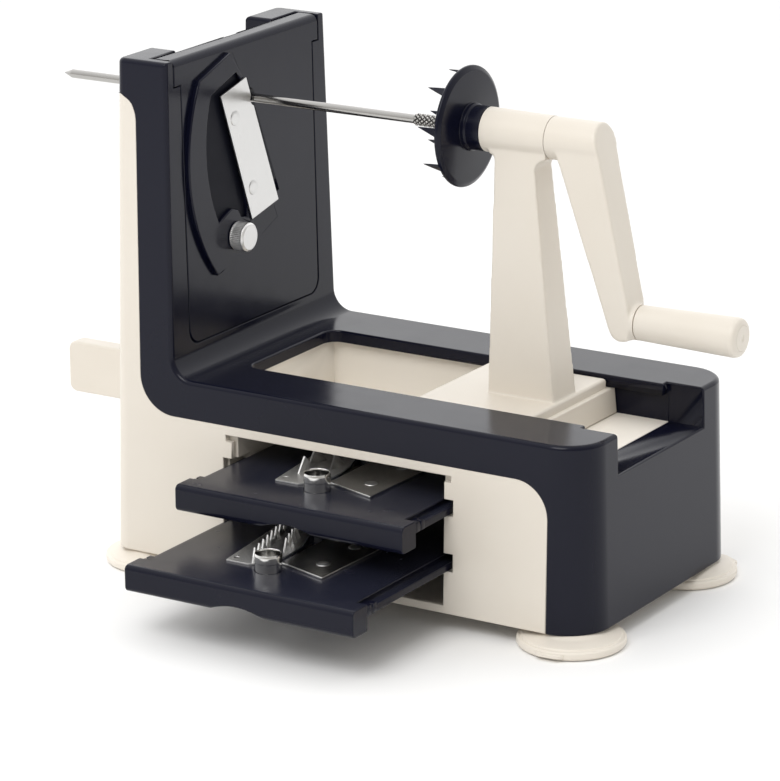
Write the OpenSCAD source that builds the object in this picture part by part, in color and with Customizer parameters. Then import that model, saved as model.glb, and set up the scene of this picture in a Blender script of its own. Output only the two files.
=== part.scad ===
// Hand-cranked spiralizer: two-tone bench body with a blade tower, a carriage
// with a spiked drive disc and crank, and two spare blade plates stored below.
// X runs from the blade tower to the crank, Y from front to back, Z up.
// Millimetres. The feet stand on Z = 0 and the origin is under the middle.

/* [Body] */
// Depth of the body from front to back
body_d = 168; // [160:1:180]
// Distance from the blade face to the crank end of the body
bed_l = 261; // [256:0.5:280]
// Thickness of the blade tower
tower_t = 40; // [38:1:48]
// Height of the underside of the body
body_z = 9; // [9:0.5:12]
// Height of the bed
bed_z = 113.5; // [112.5:0.5:115]
// Height of the tower
tower_z = 290; // [288:0.5:300]
// Wall thickness of the shells
wall = 3; // [2.4:0.1:3.4]
// Height of the two-tone line along the side
band_z = 91.8; // [91:0.1:93]

/* [Drive] */
// Height of the crank axis
axis_z = 256; // [254:0.1:258]
// Diameter of the spiked disc
disc_dia = 66.8; // [60:0.2:70]
// Diameter of the drive shaft
shaft_dia = 10; // [8:0.5:11]
// Radial running clearance of the bearings
run_gap = 0.05; // [0.02:0.01:0.08]
// Throw of the crank, axis to grip axis
crank_throw = 95.2; // [94:0.2:97]
// Length of the grip
grip_l = 61; // [58:0.5:70]

/* [Skewer] */
// Diameter of the steel rod
rod_dia = 5; // [4:0.2:5.4]
// Diameter of the knurled end of the rod
knurl_dia = 7; // [6.4:0.1:7.2]

/* [Plates] */
// Width of the top bar of a blade plate
plate_w = 144.6; // [143.6:0.2:146]
// Length of a blade plate
plate_l = 162.4; // [160:0.2:163]
// How far the upper stored plate is drawn out
upper_out = 50.4; // [30:0.2:80]
// How far the lower stored plate is drawn out
lower_out = 99; // [80:1:120]

/* [Feet] */
// Diameter of a suction foot
foot_dia = 59; // [50:1:60]

/* [Hidden] */
$fn = 72;
e = 0.01;
yc = body_d / 2;
xl = -tower_t;                 // left face of the tower
xr = bed_l;                    // right face of the body
rl = 9;                        // plan radius of the left corners
rr = 22.6;                     // plan radius of the right corners
bar_out = 89.4;                // reach of the side grip
grip_x = 247.8;                // seam between crank arm and grip
rod_tip = -129.5;
x_max = grip_x + grip_l;
x_min = min(rod_tip, xl - bar_out);
foot_c = [[xl + 16.5, 15], [xl + 16.5, body_d - 25], [xr - 16, 15], [xr - 16, body_d - 25]];
y_min = -lower_out;
y_max = body_d - 25 + foot_dia / 2;
cx = (x_min + x_max) / 2;
cy = (y_min + y_max) / 2;
seam_x = xl + 18.1;            // front two-tone line on the tower
cap_x = xr - 22.1;             // two-tone line near the crank end
floor_z = band_z - 0.8;         // running floor of the carriage
gut_y = 98;                     // front of the gutter in that floor
gut_z = floor_z - 11.4;         // floor of the gutter
lip_t = 6.8;                   // thickness of the lips over the carriage
ch0 = yc - 48.4;               // channel walls
ch1 = yc + 48.4;
lip0 = yc - 43.5;              // edges of the lips
lip1 = yc + 43.5;
bay0 = yc - 47.3;              // tower pillars, inner faces
bay1 = yc + 47.3;
sill_z = bed_z + 3;            // sill of the outlet behind the plate
plate_z = tower_z - plate_l;   // lower edge of the mounted plate
bar_h = 14.5;                  // height of a plate's top bar
bar_t = 15;                    // thickness of a plate's top bar
pan_w = plate_w - 13;          // width of a plate's panel
fl_w = plate_w - 1;            // width of a plate's flange
pan_t = 3;
fl_t = 4;
px = 107.2;                    // middle of the stored plates
up_z = 71.9;                   // blade face of the upper stored plate
lo_z = 40.6;                   // blade face of the lower stored plate
barrel_r = 12;
barrel_x0 = 154.1;
barrel_x1 = 193.7;
disc_x = 137.7;                // spiked face of the disc
car_x0 = 130.9;                // carriage, left end
car_x1 = 208.7;                // carriage, right end
grip_z = axis_z - crank_throw;
nut_y = 62.9;
nut_z = tower_z - 108.7;
navy = [0.17, 0.175, 0.23];
cream = [0.91, 0.88, 0.83];
steel = [0.78, 0.78, 0.78];

// ---------- helpers ----------
module place() translate([-cx, -cy, 0]) children();
module box(a, b) translate(a) cube([b[0] - a[0], b[1] - a[1], b[2] - a[2]]);
// extrude an X-Z outline along Y, from y0 to y1
module along_y(y0, y1) translate([0, y1, 0]) rotate([90, 0, 0]) linear_extrude(y1 - y0) children();
// extrude a Y-Z outline along X, from x0 to x1
module along_x(x0, x1) translate([x0, 0, 0]) rotate([90, 0, 90]) linear_extrude(x1 - x0) children();
module rod_x(x0, x1, r, y, z) translate([x0, y, z]) rotate([0, 90, 0]) cylinder(h = x1 - x0, r = r);
// plan outline of the body, inset by d
module plan(d) {
  translate([xl + rl, d]) square([xr - rr - xl - rl, body_d - 2 * d]);
  translate([xl + d, rl]) square([rl, body_d - 2 * rl]);
  translate([xr - rr - e, rr]) square([rr - d + e, body_d - 2 * rr]);
  for (y = [rl, body_d - rl]) translate([xl + rl, y]) circle(r = rl - d);
  for (y = [rr, body_d - rr]) translate([xr - rr, y]) circle(r = rr - d);
}
// side silhouette of the body
module side() {
  translate([xl, body_z]) square([xr - xl, bed_z - body_z]);
  translate([xl, body_z]) square([tower_t, tower_z - body_z]);
  difference() {
    translate([-e, bed_z - e]) square([12 + e, 12 + e]);
    translate([12, bed_z + 12]) circle(r = 12);
  }
}
// side outline of the light-coloured lower body
module light_side() {
  r1 = 15; r2 = 20; r3 = 22;
  translate([xl - 1, body_z - 1]) square([seam_x - xl + 1, 255.3 - body_z + 1]);
  translate([xl - 1, 200]) square([seam_x - r1 - xl + 1, 70.3]);
  translate([seam_x - r1, 255.3]) circle(r = r1);
  translate([xl - 1, body_z - 1]) square([cap_x - r2 - xl + 1, band_z - body_z + 1]);
  translate([xl - 1, body_z - 1]) square([cap_x - xl + 1, band_z - r2 - body_z + 1]);
  translate([cap_x - r2, band_z - r2]) circle(r = r2);
  difference() {
    translate([seam_x - e, band_z - e]) square([r3 + e, r3 + e]);
    translate([seam_x + r3, band_z + r3]) circle(r = r3);
  }
}
module whole() intersection() {
  translate([0, 0, body_z]) linear_extrude(tower_z - body_z) plan(0);
  along_y(-1, body_d + 1) side();
}
// Y-Z outline with two rounded lower corners
module tongue(y0, y1, z0, z1, r) {
  translate([y0, z0 + r]) square([y1 - y0, z1 - z0 - r]);
  translate([y0 + r, z0]) square([y1 - y0 - 2 * r, r + e]);
  for (y = [y0 + r, y1 - r]) translate([y, z0 + r]) circle(r = r);
}
// hollows of the pillars and of the space below the sill
module pillar_hollow(x0, x1, z0, z1) for (s = [0, 1]) mirror_y(s) box([x0, wall, z0], [x1, bay0 - wall, z1]);
module mirror_y(s) translate([0, s * body_d, 0]) mirror([0, s, 0]) children();
module outlet() box([xl - 1, bay0, sill_z], [-2.4, bay1, tower_z + 1]);
screw_xy = [[14, 12], [200, 12], [14, body_d - 12], [200, body_d - 12], [110, body_d - 6.6]];
cover_xy = [[8, 9], [222, 9], [8, body_d - 9], [222, body_d - 9]];
rack_xy = [for (s = [-1, 1], y = [30, 125]) [px + s * (pan_w / 2 + 6.4), y]];

// ---------- fixed body ----------
module lower_body() color(cream) place() {
  light_shell();
  // bosses for the base screws and lugs for the cover screws
  for (p = screw_xy) difference() {
    box([p[0] - 4.5, p[1] < yc ? wall - e : p[1] - 5, body_z + wall + 0.02], [p[0] + 4.5, p[1] < yc ? p[1] + 5 : body_d - wall + e, 30]);
    translate([p[0], p[1], body_z]) cylinder(h = 14, r = 1.75);
  }
  for (p = cover_xy) difference() {
    box([p[0] - 5, p[1] < yc ? wall - e : p[1] - 5, band_z - 8], [p[0] + 5, p[1] < yc ? p[1] + 5 : body_d - wall + e, band_z - 3]);
    translate([p[0], p[1], band_z - 9]) cylinder(h = 8, r = 1.7);
  }
}
module light_shell() difference() {
  intersection() { whole(); along_y(-1, body_d + 1) light_side(); }
  translate([0, 0, body_z - 1]) linear_extrude(band_z + 40 - body_z) intersection() {
    plan(wall);
    translate([seam_x - e, 0]) square([400, body_d]);
  }
  translate([0, 0, body_z - 1]) linear_extrude(sill_z - wall - body_z + 1) intersection() {
    plan(wall);
    translate([xl, 0]) square([seam_x - xl + 1, body_d]);
  }
  pillar_hollow(xl + wall, seam_x + 1, sill_z - wall - 1, 251);
  outlet();
  // storage opening with its guide notches and the slit along the top
  box([px - 68.2, -1, 13.7], [px + 68.2, wall + 1, 86.5]);
  box([px - 73.8, -1, 64.5], [px + 73.8, wall + 1, 73.3]);
  box([px - 73.8, -1, 33.2], [px + 73.8, wall + 1, 43]);
  box([px - 72.2, -1, 83], [px + 72.2, wall + 1, 86.5]);
  // socket of the side grip, and its screw holes
  box([xl - 1, yc - 5.5, 66.2], [xl + 1.5, yc + 5.5, 96.8]);
  for (z = [74, 89]) rod_x(xl, xl + 4, 1.8, yc, z);
}

module top_cover() color(navy) place() {
  dark_shell();
  // ledge and side walls of the channel at the crank end
  box([xr - 21.3, ch0 - 3, floor_z - 4], [xr - wall + e, ch1 + 3, floor_z]);
  for (s = [0, 1]) mirror_y(s) box([199.2, ch0 - 3, floor_z], [xr - wall + e, ch0, bed_z - lip_t + e]);
  // screw bosses under the bed
  for (p = cover_xy) difference() {
    translate([p[0], p[1], band_z - 2.98]) cylinder(h = bed_z - lip_t - band_z + 3.5, r = 4.5);
    translate([p[0], p[1], band_z - 4]) cylinder(h = 15, r = 1.3);
  }
}
module dark_shell() difference() {
  whole();
  along_y(-1, body_d + 1) light_side();
  // hollow under the bed, open below
  translate([0, 0, body_z - 1]) linear_extrude(bed_z - lip_t - body_z + 1) intersection() {
    plan(wall);
    translate([4, 0]) square([400, body_d]);
  }
  // hollow of the tower foot and of the pillars
  box([seam_x - 1, wall, body_z], [4 + e, body_d - wall, bed_z - lip_t]);
  pillar_hollow(seam_x - 1, -11, bed_z - 10, tower_z - bar_h - 6);
  pillar_hollow(xl + wall, seam_x, 240, tower_z - 6);
  outlet();
  // seat of the blade plate: panel, flange and top bar
  along_x(-3.06, 1) tongue(yc - pan_w / 2 - 0.4, yc + pan_w / 2 + 0.4, plate_z, tower_z + 1, 9);
  along_x(-7.5, -2.4) tongue(yc - fl_w / 2 - 0.4, yc + fl_w / 2 + 0.4, plate_z + 5.6, tower_z + 1, 9.4);
  box([-bar_t - 0.4, yc - plate_w / 2 - 0.4, tower_z - bar_h - 0.4], [1, yc + plate_w / 2 + 0.4, tower_z + 1]);
  // carriage opening in the bed, with rounded left corners
  translate([0, 0, bed_z - lip_t - 1]) linear_extrude(lip_t + 2) {
    translate([30.5, lip0]) square([xr - 22 - 30.5, lip1 - lip0]);
    translate([22, lip0 + 8.5]) square([20, lip1 - lip0 - 17]);
    for (y = [lip0 + 8.5, lip1 - 8.5]) translate([30.5, y]) circle(r = 8.5);
  }
  // open notch at the crank end
  box([xr - 22.6, ch0, floor_z], [xr + 1, ch1, bed_z + 1]);
  // screw towers of the tray
  for (p = tray_xy) translate([p[0], p[1], bed_z - lip_t - 1]) cylinder(h = 4, r = 1.25);
}
tray_xy = [[60, 26], [160, 26], [60, body_d - 26], [160, body_d - 26]];

// floor and side walls of the carriage channel
module slide_tray() color(cream) place() {
  difference() {
    union() {
      box([18, ch0 - 3, floor_z - 3], [xr - 21.5, gut_y, floor_z]);
      box([190, gut_y - e, floor_z - 3], [xr - 21.5, ch1 + 3, floor_z]);
      // deeper gutter along the back wall
      box([18, gut_y - 3, gut_z - 3], [193, ch1 + 3, gut_z]);
      box([18, gut_y - 3, gut_z - e], [193, gut_y, floor_z]);
      box([190, gut_y - e, gut_z - e], [193, ch1 + 3, floor_z]);
      box([18, gut_y - e, gut_z - e], [21, ch1 + 3, floor_z]);
      box([18, ch1, gut_z - e], [193, ch1 + 3, floor_z]);
      box([18, ch0 - 3, floor_z - e], [199, ch0, bed_z - lip_t]);
      box([18, ch1, floor_z - e], [199, ch1 + 3, bed_z - lip_t]);
      box([18, ch0 - 3, floor_z - e], [21, ch1 + 3, bed_z - lip_t]);
      for (p = tray_xy) box([p[0] - 5, p[1] < yc ? p[1] - 5 : ch1 + 2.9, bed_z - lip_t - 3], [p[0] + 5, p[1] < yc ? ch0 - 2.9 : p[1] + 5, bed_z - lip_t]);
    }
    for (p = tray_xy) translate([p[0], p[1], bed_z - lip_t - 4]) cylinder(h = 6, r = 1.7);
  }
}
module tray_screws() color(steel) place() for (p = tray_xy) {
  translate([p[0], p[1], bed_z - lip_t - 5.2]) cylinder(h = 2.2, r = 3);
  translate([p[0], p[1], bed_z - lip_t - 3.1]) cylinder(h = 5, r = 1.2);
}

module base_plate() color(cream) place() difference() {
  translate([0, 0, body_z]) linear_extrude(wall) plan(wall + 0.3);
  for (c = foot_c) translate([c[0], c[1], body_z - 1]) cylinder(h = wall + 2, r = 6.1);
  for (p = concat(screw_xy, rack_xy)) translate([p[0], p[1], body_z - 1]) cylinder(h = wall + 2, r = 1.8);
  // drain slots
  for (x = [60 : 20 : 160]) box([x, 55, body_z - 1], [x + 6, 105, body_z + wall + 1]);
}
module pan_screw(p, z, l, r) {
  translate([p[0], p[1], z - 2]) cylinder(h = 2, r = 2 * r);
  translate([p[0], p[1], z - e]) cylinder(h = l, r = r);
}
module base_screws() color(steel) place() for (p = screw_xy) pan_screw(p, body_z, 12, 1.7);
module rack_screws() color(steel) place() for (p = rack_xy) pan_screw(p, body_z, 12, 1.7);
module cover_screws() color(steel) place() for (p = cover_xy) pan_screw(p, band_z - 8, 16, 1.25);

// guide rack of the stored plates, s = -1 left, 1 right
module rack(s) color(cream) place() translate([px, 0, 0]) mirror([s < 0 ? 1 : 0, 0, 0]) difference() {
  box([pan_w / 2 + 0.8, wall + 0.2, body_z + wall], [pan_w / 2 + 12, body_d - 8, 86.4]);
  for (y = [30, 125]) translate([pan_w / 2 + 6.4, y, body_z]) cylinder(h = 14, r = 1.75);
  // room for the gutter
  box([pan_w / 2, gut_y - 4, gut_z - 3.4], [pan_w / 2 + 13, body_d, 87]);
  for (z = [up_z, lo_z]) {
    box([pan_w / 2, wall, z - pan_t - fl_t - 0.5], [fl_w / 2 + 0.7, body_d - 11, z - pan_t + 0.5]);
    box([pan_w / 2 + 0.4, wall, z - pan_t - fl_t - 0.5], [fl_w / 2 + 0.7, wall + 12, z + 1.5]);
  }
}
module left_rack() rack(-1);
module right_rack() rack(1);

// bar on the left side to steady the machine by
module side_grip() color(cream) place() difference() {
  along_y(yc - 5.5, yc + 5.5) {
    translate([xl - bar_out + 5, 66.2]) square([bar_out - 5 + 1.4, 30.6]);
    translate([xl - bar_out, 71.2]) square([10, 20.6]);
    for (z = [71.2, 91.8]) translate([xl - bar_out + 5, z]) circle(r = 5);
  }
  for (z = [74, 89]) rod_x(xl - 12, xl + 3, 1.45, yc, z);
}
module grip_screws() color(steel) place() for (z = [74, 89]) {
  rod_x(xl + wall + 0.05, xl + wall + 2.2, 3.2, yc, z);
  rod_x(xl - 10, xl + wall + 0.1, 1.4, yc, z);
}

// suction foot: cup with a plug that snaps through the base plate
module foot(c, a) color([0.93, 0.88, 0.8]) place() translate([c[0], c[1], 0]) {
  r = foot_dia / 2;
  rotate_extrude() polygon([[r - 5, 0], [r - 1.5, 0], [r, 1.2], [r, 4.6], [r - 1.2, 6], [17, 7.4], [14, body_z - 0.05], [6, body_z - 0.05],
    [6, body_z + wall + 0.05], [7.4, body_z + wall + 0.05], [5, body_z + wall + 4], [0, body_z + wall + 4], [0, 4.2], [12, 3.6]]);
  rotate([0, 0, a]) box([r - 2, -5, 1.8], [r + 2.2, 5, 4]);
}
module foot_front_left() foot(foot_c[0], 285);
module foot_back_left() foot(foot_c[1], 165);
module foot_front_right() foot(foot_c[2], 275);
module foot_back_right() foot(foot_c[3], 60);

// ---------- mounted blade plate ----------
module spiral_plate() color(navy) place() difference() {
  union() {
    along_x(-pan_t, 0) tongue(yc - pan_w / 2, yc + pan_w / 2, plate_z, tower_z - bar_h + 1, 9);
    along_x(-pan_t - fl_t, -pan_t + e) tongue(yc - fl_w / 2, yc + fl_w / 2, plate_z + 6, tower_z - bar_h - 4, 9);
    along_x(-pan_t - fl_t, -pan_t + e) translate([yc - pan_w / 2, tower_z - bar_h - 6]) square([pan_w, 8]);
    along_y(yc - plate_w / 2, yc + plate_w / 2) {
      translate([-bar_t, tower_z - bar_h]) square([bar_t, bar_h - 4]);
      translate([-bar_t + 4, tower_z - bar_h]) square([bar_t - 8, bar_h]);
      for (x = [-bar_t + 4, -4]) translate([x, tower_z - 4]) circle(r = 4);
    }
  }
  // outlet slot along the cutting edge, and the way through for the rod
  along_x(-10, 1) blade_slot();
  rod_x(-20, 1, 5.5, yc, axis_z);
  // finger scoop at the back of the bar
  translate([-bar_t - 21, yc, tower_z - bar_h - 1]) cylinder(h = bar_h + 2, r = 24.5);
  rod_x(-10, 1, 2.55, nut_y, nut_z);
  for (p = rivet_yz) rod_x(-10, 1, 2.05, p[0], p[1]);
}
// corners of the blade in Y-Z: upper right, upper left, lower left, lower right
bl_u = [76.4, tower_z - 20.8];
bl_l = [51, tower_z - 26.9];
bl_b = [78, tower_z - 102.6];
bl_r = [105, tower_z - 96.9];
function mix(a, b, t) = a + (b - a) * t;
module blade_slot() polygon([bl_u + [-6, -6], bl_u + [6.5, -2], bl_r + [6.5, 4], bl_r + [-4, 1]]);
rivet_yz = [[63.8, tower_z - 41.7], [79.7, tower_z - 84.6]];
// arc from a to b that bulges by s, as n points
function arc(a, b, s, n) = let (c = norm(b - a), r = c * c / (8 * s) + s / 2, d = (b - a) / c, m = (a + b) / 2,
  nn = [d[1], -d[0]], o = m - nn * (r - s), h = asin(c / 2 / r))
  [for (i = [0 : n]) let (t = -h + 2 * h * i / n) o + r * (nn * cos(t) + d * sin(t))];
pad_a = [32.5, tower_z - 14.6];
pad_b = [43.9, tower_z - 127.7];
module pad_outline() polygon(concat([[62.8, tower_z - 4.6]], arc(pad_a, pad_b, 18.4, 24),
  [[49.3, tower_z - 126.5], [66, tower_z - 114], [74, tower_z - 112], bl_b + [2, -6], bl_b + [3.4, 1], bl_b, bl_u + [-1.2, 0]]));
module pad_recess() polygon(concat([[68, tower_z - 16.8]], arc([42.9, tower_z - 25.2], [46.7, tower_z - 98.2], 8, 16),
  [[54, tower_z - 94.6], [59.6, tower_z - 92.6], [65.6, tower_z - 94.4], [68.6, tower_z - 99], bl_b + [-3, 2], bl_u + [-4, -1]]));
module blade_carrier() color(navy) place() difference() {
  along_x(0.02, 2.9) pad_outline();
  along_x(0.5, 5) pad_recess();
  along_x(2.6, 5) polygon([bl_u + [0.3, 0.6], bl_l + [-0.6, 0], bl_b + [-0.4, -0.5], bl_b + [30, 40]]);
  rod_x(0, 6, 2.55, nut_y, nut_z);
  rod_x(0, 6, 5.5, yc, axis_z);
  for (p = rivet_yz) rod_x(0, 6, 2.05, p[0], p[1]);
}
// the flat blade stands on the carrier, its long edge over the slot
module spiral_blade() color(steel) place() difference() {
  along_x(2.64, 3.8) polygon([bl_u, bl_l, bl_b, bl_r]);
  along_x(2, 5) translate([yc, axis_z]) circle(r = 4.2);
  // bevel of the cutting edge
  for (p = rivet_yz) rod_x(2, 5, 2.05, p[0], p[1]);
}
module spiral_rivets() color(steel) place() for (p = rivet_yz) {
  rod_x(-pan_t - fl_t - 1, 3.82, 2, p[0], p[1]);
  rod_x(3.82 - e, 4, 4.3, p[0], p[1]);
}
module thumb_stud() color(steel) place() {
  rod_x(-pan_t - fl_t - 1.5, 9, 2.5, nut_y, nut_z);
  rod_x(-pan_t - fl_t - 3, -pan_t - fl_t - 0.05, 4.5, nut_y, nut_z);
}
module thumb_nut() color(steel) place() difference() {
  translate([0, nut_y, nut_z]) rotate([0, 90, 0]) rotate_extrude()
    polygon([[0, 3.1], [7.8, 3.1], [8.2, 3.5], [8.2, 11.3], [7.4, 12.2], [0, 12.2]]);
  rod_x(2.8, 10, 2.56, nut_y, nut_z);
  for (i = [0 : 35]) translate([0, nut_y, nut_z]) rotate([10 * i, 0, 0]) translate([4.4, 8.35, 0]) rotate([0, 90, 0]) cylinder(h = 6, r = 0.42, $fn = 4);
}

// ---------- carriage ----------
module carriage_base() color(cream) place() difference() {
  union() {
    box([car_x0, ch0 + 0.5, floor_z + 0.3], [car_x1, ch1 - 0.5, bed_z - lip_t - 0.4]);
    translate([0, 0, bed_z - lip_t - 0.5]) linear_extrude(5.5) {
      translate([car_x0 + 6, lip0 + 0.6]) square([66.5, lip1 - lip0 - 1.2]);
      translate([car_x0, lip0 + 6.6]) square([72.5, lip1 - lip0 - 13.2]);
      for (y = [lip0 + 6.6, lip1 - 6.6]) translate([car_x0 + 6, y]) circle(r = 6);
    }
  }
  // hollow underside
  box([car_x0 + 4, ch0 + 5, floor_z], [car_x1 - 4, ch1 - 5, bed_z - lip_t - 4.6]);
  for (p = car_xy) translate([p[0], p[1], car_top - 10.4]) cylinder(h = 12, r = 1.9);
}
car_xy = [[168, yc - 7], [168, yc + 7], [191, yc - 7], [191, yc + 7]];
car_top = bed_z - lip_t + 5;
module carriage_post() color(cream) place() difference() {
  union() {
    intersection() {
      along_y(0, body_d) polygon([[159.9, car_top], [201.3, car_top], [186, axis_z - 5], [162.4, axis_z - 5]]);
      along_x(100, 260) polygon([[yc - 12.6, car_top], [yc + 12.6, car_top], [yc + 9.4, axis_z], [yc - 9.4, axis_z]]);
    }
    rod_x(barrel_x0, barrel_x1, barrel_r, yc, axis_z);
  }
  rod_x(barrel_x0 - 1, barrel_x1 + 1, 8, yc, axis_z);
  for (p = car_xy) translate([p[0], p[1], car_top - 1]) cylinder(h = 15, r = 1.3);
}
module carriage_screws() color(steel) place() for (p = car_xy) {
  translate([p[0], p[1], car_top - 11.9]) cylinder(h = 2.2, r = 3.2);
  translate([p[0], p[1], car_top - 9.8]) cylinder(h = 22, r = 1.25);
}
module bush(x0, x1) color(navy) place() difference() {
  rod_x(x0, x1, 7.98, yc, axis_z);
  rod_x(x0 - 1, x1 + 1, shaft_dia / 2 + run_gap, yc, axis_z);
}
module front_bush() bush(barrel_x0 + 0.3, barrel_x0 + 12.3);
module rear_bush() bush(barrel_x1 - 12.3, barrel_x1 - 0.3);

// ---------- crank ----------
module crank_shaft() color(steel) place() difference() {
  union() {
    rod_x(disc_x + 1.5, barrel_x1 + 3, shaft_dia / 2, yc, axis_z);
    box([barrel_x1 + 2, yc - 3.5, axis_z - 3.5], [216, yc + 3.5, axis_z + 3.5]);
  }
  rod_x(disc_x, disc_x + 8, knurl_dia / 2 + 0.06, yc, axis_z);
  translate([disc_x + 12, yc, axis_z - 20]) cylinder(h = 40, r = 1.55);
}
// disc with two rings of fins and a hub that holds the shaft
module drive_disc() color(navy) place() difference() {
  r = disc_dia / 2;
  union() {
    translate([disc_x, yc, axis_z]) rotate([0, 90, 0]) rotate_extrude()
      polygon([[0, 0], [r - 1.6, 0], [r - 0.3, 0.8], [r, 2.2], [r - 0.4, 3.4], [r - 2, 4.3], [14, 5], [13, 5], [13, 7.4], [12.2, 8], [12.2, 16.2], [0, 16.2]]);
    for (k = [0, 1], i = [0 : 7]) translate([0, yc, axis_z]) rotate([84 + 45 * i + 22.5 * k, 0, 0]) translate([0, k == 0 ? 29.3 : 20.4, 0])
      rotate([90, 0, 0]) translate([0, 0, -0.8]) linear_extrude(1.6) polygon([[disc_x + 0.5, -1.2], [disc_x + 0.5, 3.4], [disc_x - (k == 0 ? 11.6 : 10.6), -0.7], [disc_x - (k == 0 ? 11.6 : 10.6), -1.2]]);
  }
  rod_x(disc_x - 1, disc_x + 1.5, knurl_dia / 2 + 0.06, yc, axis_z);
  rod_x(disc_x + 1.45, disc_x + 17, shaft_dia / 2 + 0.02, yc, axis_z);
  translate([disc_x + 12, yc, axis_z - 20]) cylinder(h = 40, r = 1.55);
}
module disc_pin() color(steel) place() translate([disc_x + 12, yc, axis_z - 11.6]) cylinder(h = 23.2, r = 1.5);
// crank arm: round hub, slanted tapering arm and a boss for the grip
module crank_arm() color(cream) place() difference() {
  union() {
    intersection() {
      rod_x(barrel_x1 + 0.3, 232, barrel_r, yc, axis_z);
      along_y(0, body_d) polygon([[186, 225], [232.8, 225], [221.8, 275], [186, 275]]);
    }
    along_y(yc - 10.8, yc + 10.8) polygon([[199.4, axis_z], [225.9, axis_z], [243.3, axis_z - 79], [247.5, axis_z - 86],
      [247.5, axis_z - 104.6], [241, axis_z - 105.4], [236.6, axis_z - 101.6], [234, axis_z - 92.6], [203.2, axis_z - 8]]);
  }
  box([barrel_x1 + 1, yc - 3.54, axis_z - 3.54], [216.2, yc + 3.54, axis_z + 3.54]);
  rod_x(barrel_x1, barrel_x1 + 3.2, shaft_dia / 2 + 0.05, yc, axis_z);
  rod_x(239, 249, 3.52, yc, grip_z);
}
module grip_pin() color(steel) place() {
  rod_x(239.1, grip_x + 46, 3.5, yc, grip_z);
  rod_x(grip_x + 45.9, grip_x + 50, 2.5, yc, grip_z);
}
module grip_washer() color(steel) place() difference() {
  rod_x(grip_x + 46.05, grip_x + 48, 6.5, yc, grip_z);
  rod_x(grip_x + 45, grip_x + 49, 2.52, yc, grip_z);
}
module crank_grip() color(cream) place() difference() {
  translate([grip_x, yc, grip_z]) rotate([0, 90, 0]) rotate_extrude()
    polygon([[0, 0], [9.2, 0], [9.6, 0.6], [10.9, grip_l - 3.4], [10.5, grip_l - 1.6], [9.1, grip_l - 0.5], [7.4, grip_l], [0, grip_l]]);
  rod_x(grip_x - 1, grip_x + 46, 3.5 + run_gap, yc, grip_z);
  rod_x(grip_x + 45.6, grip_x + grip_l + 1, 7, yc, grip_z);
}
module grip_cap() color(cream) place() difference() {
  rod_x(grip_x + grip_l - 8, grip_x + grip_l, 6.97, yc, grip_z);
  rod_x(grip_x + grip_l - 9, grip_x + grip_l - 3, 5.4, yc, grip_z);
}

// pointed steel rod with a knurled driving end
module skewer_rod() color(steel) place() {
  translate([rod_tip, yc, axis_z]) rotate([0, 90, 0]) rotate_extrude()
    polygon([[0, 0], [0.25, 0], [rod_dia / 2, 11], [rod_dia / 2, 236.2], [knurl_dia / 2, 237.2], [knurl_dia / 2, 273.4], [knurl_dia / 2 - 0.8, 274.4], [0, 274.4]]);
}

// ---------- stored blade plates: d front face, z blade face ----------
module stored_plate(d, z) color(navy) place() difference() {
  union() {
    // top bar, rounded along its front edges
    along_x(px - plate_w / 2, px + plate_w / 2) {
      translate([d + 3, z - bar_t]) square([bar_h - 3, bar_t]);
      translate([d, z - bar_t + 3]) square([4, bar_t - 6]);
      for (k = [z - bar_t + 3, z - 3]) translate([d + 3, k]) circle(r = 3);
    }
    translate([px, 0, z - pan_t]) linear_extrude(pan_t) {
      translate([-pan_w / 2, d + bar_h - 1]) square([pan_w, plate_l - bar_h - 8]);
      translate([-pan_w / 2 + 9, d + plate_l - 12]) square([pan_w - 18, 12]);
      for (s = [-1, 1]) translate([s * (pan_w / 2 - 9), d + plate_l - 9]) circle(r = 9);
    }
    box([px - fl_w / 2, d + bar_h + 4, z - pan_t - fl_t], [px + fl_w / 2, d + plate_l - 6, z - pan_t + e]);
    box([px - pan_w / 2, d + bar_h - 1, z - pan_t - fl_t], [px + pan_w / 2, d + bar_h + 5, z - pan_t + e]);
  }
  // finger scoop under the bar
  along_y(d - 1, d + bar_h + 1) translate([px - 1, z - bar_t - 36]) circle(r = 40);
  // slot between the toothed strip and the blade
  translate([px, d, z - 10]) linear_extrude(11) polygon([[-3.4, 58], [-1.5, 58], [-1.5, 98], [-14, 98], [-12, 91.6], [-5.8, 75]]);
  translate([px - 1.4, d + 32.6, z - 10]) cylinder(h = 11, r = 7.35);
  for (p = rivet_xy(d)) translate([p[0], p[1], z - 10]) cylinder(h = 11, r = 1.55);
}
function rivet_xy(d) = [[px + 20.5, d + 52.5], [px + 20.5, d + 84], [px - 26, d + 39], [px - 31, d + 90]];
module stored_blade(d, z) color(steel) place() difference() {
  translate([px, d, z + 0.02]) linear_extrude(1.4) polygon([[-0.5, 43.4], [31.6, 33.6], [33.6, 92], [-0.9, 100]]);
  for (p = rivet_xy(d)) translate([p[0], p[1], z - 1]) cylinder(h = 4, r = 1.55);
}
// row of n upright teeth from p along a line turned by a, with pitch t, width w and height h
module teeth(p, a, n, t, w, h) translate(p) rotate([0, 0, a]) for (i = [0 : n - 1]) translate([0, t * i, 0])
  rotate([0, 0, -a - 14]) along_x(-0.6, 0.6) polygon([[0, 0], [w, 0], [w * 0.36, h]]);
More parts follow.
